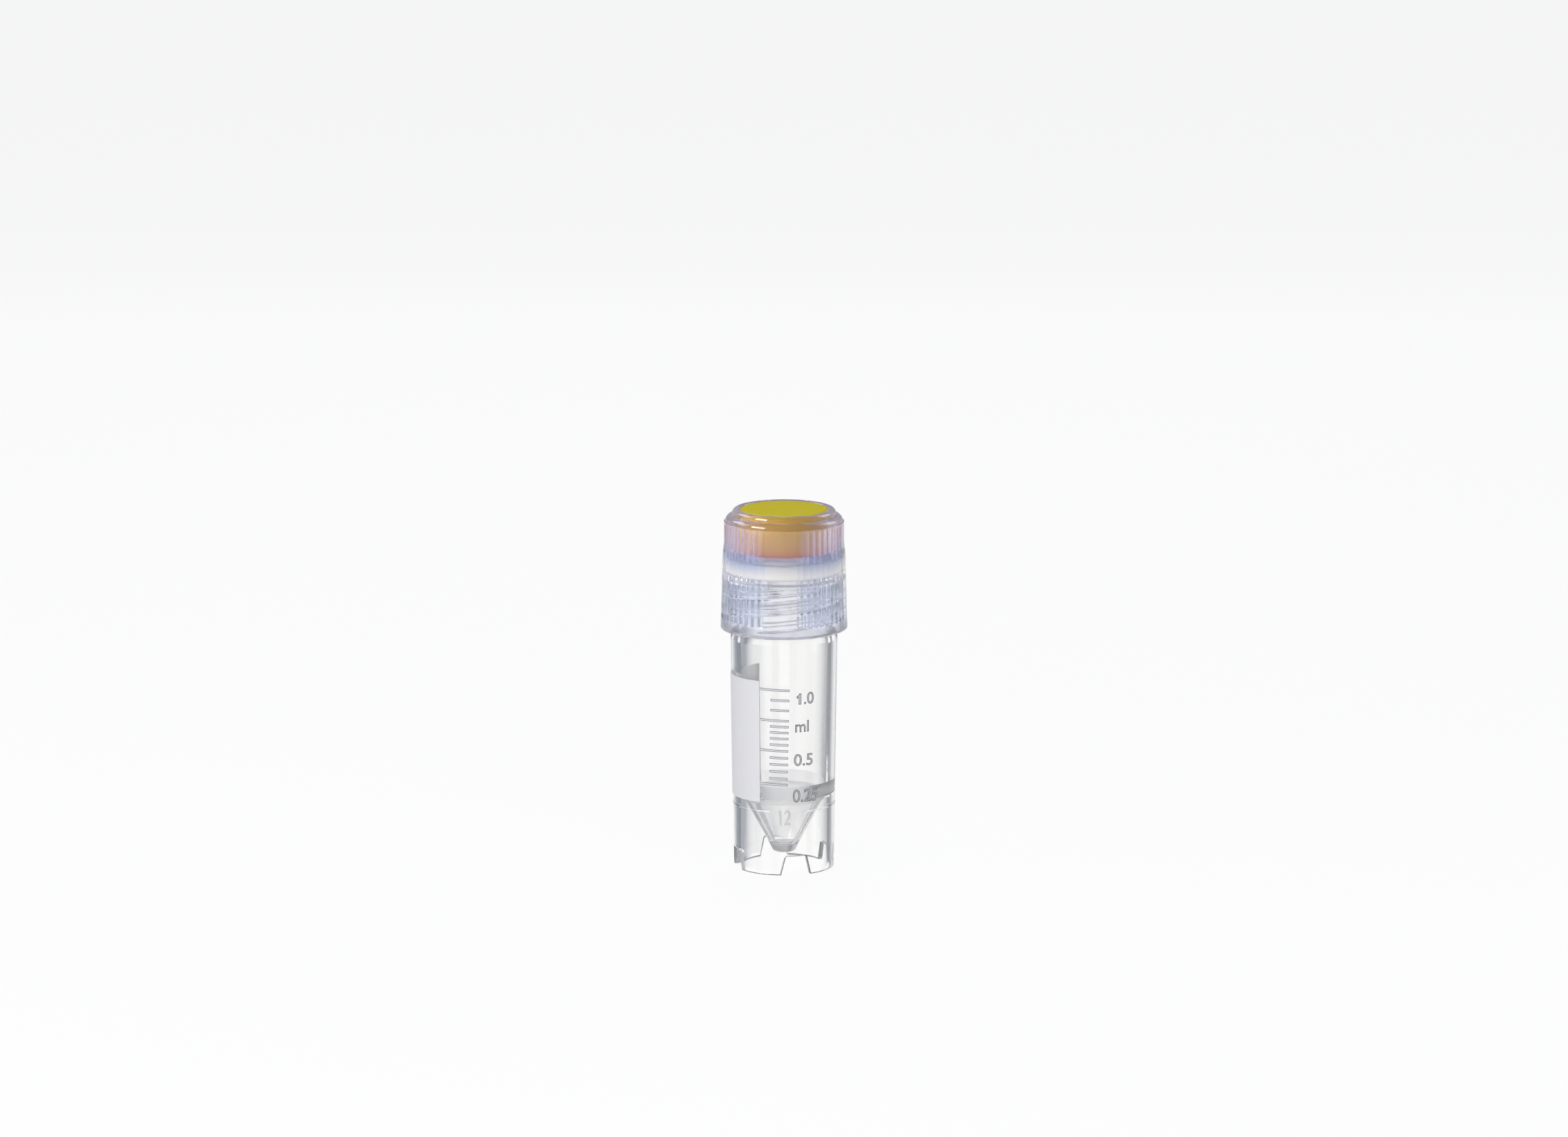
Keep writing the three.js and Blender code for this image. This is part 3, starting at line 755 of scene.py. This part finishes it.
# ---- Studio floor ----
# A plain white table top. It keeps the vial's soft shadow, shows as white to the
# camera, and is clear to rays bent through the plastic, which see the cards instead.
floor_half, floor_gap = 3, 0.00002
corners = [(x * floor_half, y * floor_half, 0) for x, y in ((-1, -1), (1, -1), (1, 1), (-1, 1))]
floor_mesh = bpy.data.meshes.new("floor")
floor_mesh.from_pydata(corners, [], [(0, 1, 2, 3)])
floor = placed("floor", floor_mesh)
floor.location.z = cad_low.z - floor_gap
floor_finish = bpy.data.materials.new("white_table")
floor_finish.use_nodes = True
tree = floor_finish.node_tree
table = tree.nodes["Principled BSDF"]
table.inputs["Base Color"].default_value = (0.85, 0.85, 0.85, 1)
table.inputs["Roughness"].default_value = 0.6
white = tree.nodes.new("ShaderNodeEmission")
open_air = tree.nodes.new("ShaderNodeBsdfTransparent")
path = tree.nodes.new("ShaderNodeLightPath")
seen = tree.nodes.new("ShaderNodeMath")
seen.operation = "MULTIPLY"
seen.inputs[1].default_value = 0.85
tree.links.new(path.outputs["Is Camera Ray"], seen.inputs[0])
plain = mixed_shader(tree, seen.outputs["Value"], table.outputs["BSDF"], white.outputs["Emission"])
through = mixed_shader(tree, path.outputs["Is Transmission Ray"], plain, open_air.outputs["BSDF"])
tree.links.new(through, tree.nodes["Material Output"].inputs["Surface"])
floor.data.materials.append(floor_finish)

# ---- Studio lights ----
# White surroundings with grey cards between them, which draw the clear plastic's
# edges, and soft boxes that give its highlights.
world = bpy.data.worlds.new("studio")
world.use_nodes = True
bpy.context.scene.world = world
tree = world.node_tree
place = tree.nodes.new("ShaderNodeTexCoord")
split = tree.nodes.new("ShaderNodeSeparateXYZ")
tree.links.new(place.outputs["Generated"], split.inputs["Vector"])
turn = tree.nodes.new("ShaderNodeMath")
turn.operation = "ARCTAN2"
tree.links.new(split.outputs["X"], turn.inputs[0])
tree.links.new(split.outputs["Y"], turn.inputs[1])
part = remap(tree, turn.outputs["Value"], -math.pi, math.pi)


def cards(stops):
    """Cards round the horizon, from stops of (azimuth, level). Level 1 is white; dark cards lean to blue."""
    made = tree.nodes.new("ShaderNodeValToRGB")
    tree.links.new(part.outputs["Result"], made.inputs["Fac"])
    tinted = []
    for azimuth, level in stops:
        depth = min(1, (1 - level) / 0.7) ** 2
        cool = 0.18 * depth if azimuth < 0 else 0.09 * depth
        tinted.append(((azimuth + 180) / 360, (level * (1 - cool / 2), level, level * (1 + cool))))
    fill_ramp(made, tinted)
    return made.outputs["Color"]


def mixed(factor, first, second):
    """A colour between two others; the second may be a plain one."""
    node = tree.nodes.new("ShaderNodeMix")
    node.data_type = "RGBA"
    tree.links.new(factor, node.inputs["Factor"])
    tree.links.new(first, node.inputs[6])
    if isinstance(second, tuple):
        node.inputs[7].default_value = second
    else:
        tree.links.new(second, node.inputs[7])
    return node.outputs[2]


# An upright wall keeps a ray's slope, so each view of the vial sees one belt of cards.
# The belts: soft-edged cards at the slope of a view from a little above, cards with
# white gaps on the diagonals at other slopes, and closer ones that only the cone's
# slanting wall sees. Steep views see through to a floor that is mostly white.
back_cards = [
    (-169, 1.0), (-165, 0.35), (-150, 0.35), (-146, 1.0),
    (-124, 1.0), (-120, 0.35), (-105, 0.35), (-101, 1.0),
]
mirrored_back = [(-azimuth, level) for azimuth, level in reversed(back_cards)]
low_cards = cards(
    back_cards
    + [(-79, 1.0), (-72, 0.34), (-60, 0.27), (-40, 0.21), (-28, 0.25), (-16, 0.42), (-9, 0.75), (-4, 0.93)]
    + [(0, 1.0), (8, 1.0), (16, 0.8), (22, 0.64), (29, 0.4), (40, 0.2), (50, 0.3), (79, 1.0)]
    + mirrored_back
)
split_cards = cards(
    back_cards
    + [(-79, 1.0), (-74, 0.38), (-52, 0.33), (-49, 1.0), (-41, 1.0), (-38, 0.26), (-17, 0.19), (-8, 1.0)]
    + [(28, 1.0), (31, 0.18), (38, 0.2), (41, 1.0), (49, 1.0), (52, 0.33), (74, 0.38), (79, 1.0)]
    + mirrored_back
)
deep_cards = cards(
    back_cards
    + [(-79, 1.0), (-72, 0.34), (-52, 0.22), (-48, 0.6), (-42, 0.6), (-38, 0.22), (-18, 0.3), (-11, 1.0)]
    + [(20, 1.0), (26, 0.3), (38, 0.18), (42, 0.6), (48, 0.6), (52, 0.22), (72, 0.34), (79, 1.0)]
    + mirrored_back
)
slope = split.outputs["Z"]
belt_height = remap(tree, slope, -0.26, -0.16)
low_belt = tree.nodes.new("ShaderNodeValToRGB")
tree.links.new(belt_height.outputs["Result"], low_belt.inputs["Fac"])
fill_ramp(low_belt, [(0.155, (0, 0, 0)), (0.19, (1, 1, 1)), (0.88, (1, 1, 1)), (0.93, (0, 0, 0))])
deep_belt = remap(tree, slope, -0.365, -0.335, 1, 0)
steep_part = remap(tree, slope, -0.5, -0.42, 0.6, 0)
behind = mixed(deep_belt.outputs["Result"], split_cards, deep_cards)
behind = mixed(low_belt.outputs["Color"], behind, low_cards)
behind = mixed(steep_part.outputs["Result"], behind, (1, 1, 1, 1))

# The camera sees plain white, rays bent through plastic see the cards, and gloss and
# soft light see a grey room.
view, room, white = (tree.nodes.new("ShaderNodeBackground") for _ in range(3))
tree.links.new(behind, view.inputs["Color"])
room.inputs["Color"].default_value = (0.42, 0.43, 0.46, 1)
white.inputs["Color"].default_value = (1, 1, 1, 1)
path = tree.nodes.new("ShaderNodeLightPath")
lit = mixed_shader(
    tree, path.outputs["Is Transmission Ray"], room.outputs["Background"], view.outputs["Background"]
)
shown = mixed_shader(tree, path.outputs["Is Camera Ray"], lit, white.outputs["Background"])
tree.links.new(shown, tree.nodes["World Output"].inputs["Surface"])


def soft_box(name, azimuth, elevation, width, height, radiance, distance=0.4, lights="gloss"):
    """A soft box that faces the vial, for gloss or for fill. Azimuth 0 is in front, positive to the right."""
    light = bpy.data.lights.new(name, "AREA")
    light.shape, light.size, light.size_y = "RECTANGLE", width, height
    light.energy = radiance * math.pi * width * height
    box = placed(name, light)
    a, e = math.radians(azimuth), math.radians(elevation)
    away = Vector((math.sin(a) * math.cos(e), -math.cos(a) * math.cos(e), math.sin(e)))
    box.location = Vector((0, 0, 0.03)) + away * distance
    box.rotation_euler = away.to_track_quat("Z", "Y").to_euler()
    box.visible_diffuse = lights != "gloss"
    box.visible_glossy = lights != "fill"
    box.visible_transmission = lights != "fill"


soft_box("front_left_box", -55, 30, 0.2, 0.15, 18)
soft_box("back_left_box", -112, 35, 0.30, 0.16, 5)
soft_box("back_right_box", 115, 30, 0.20, 0.20, 4)
soft_box("left_fill", -60, 25, 0.4, 0.4, 1.0, lights="fill")
soft_box("front_fill", 10, 25, 0.5, 0.4, 1.35, lights="fill")
soft_box("back_fill", 180, 35, 0.5, 0.4, 0.6, lights="fill")
soft_box("top_fill", 0, 88, 0.5, 0.5, 1.3, distance=0.6, lights="fill")
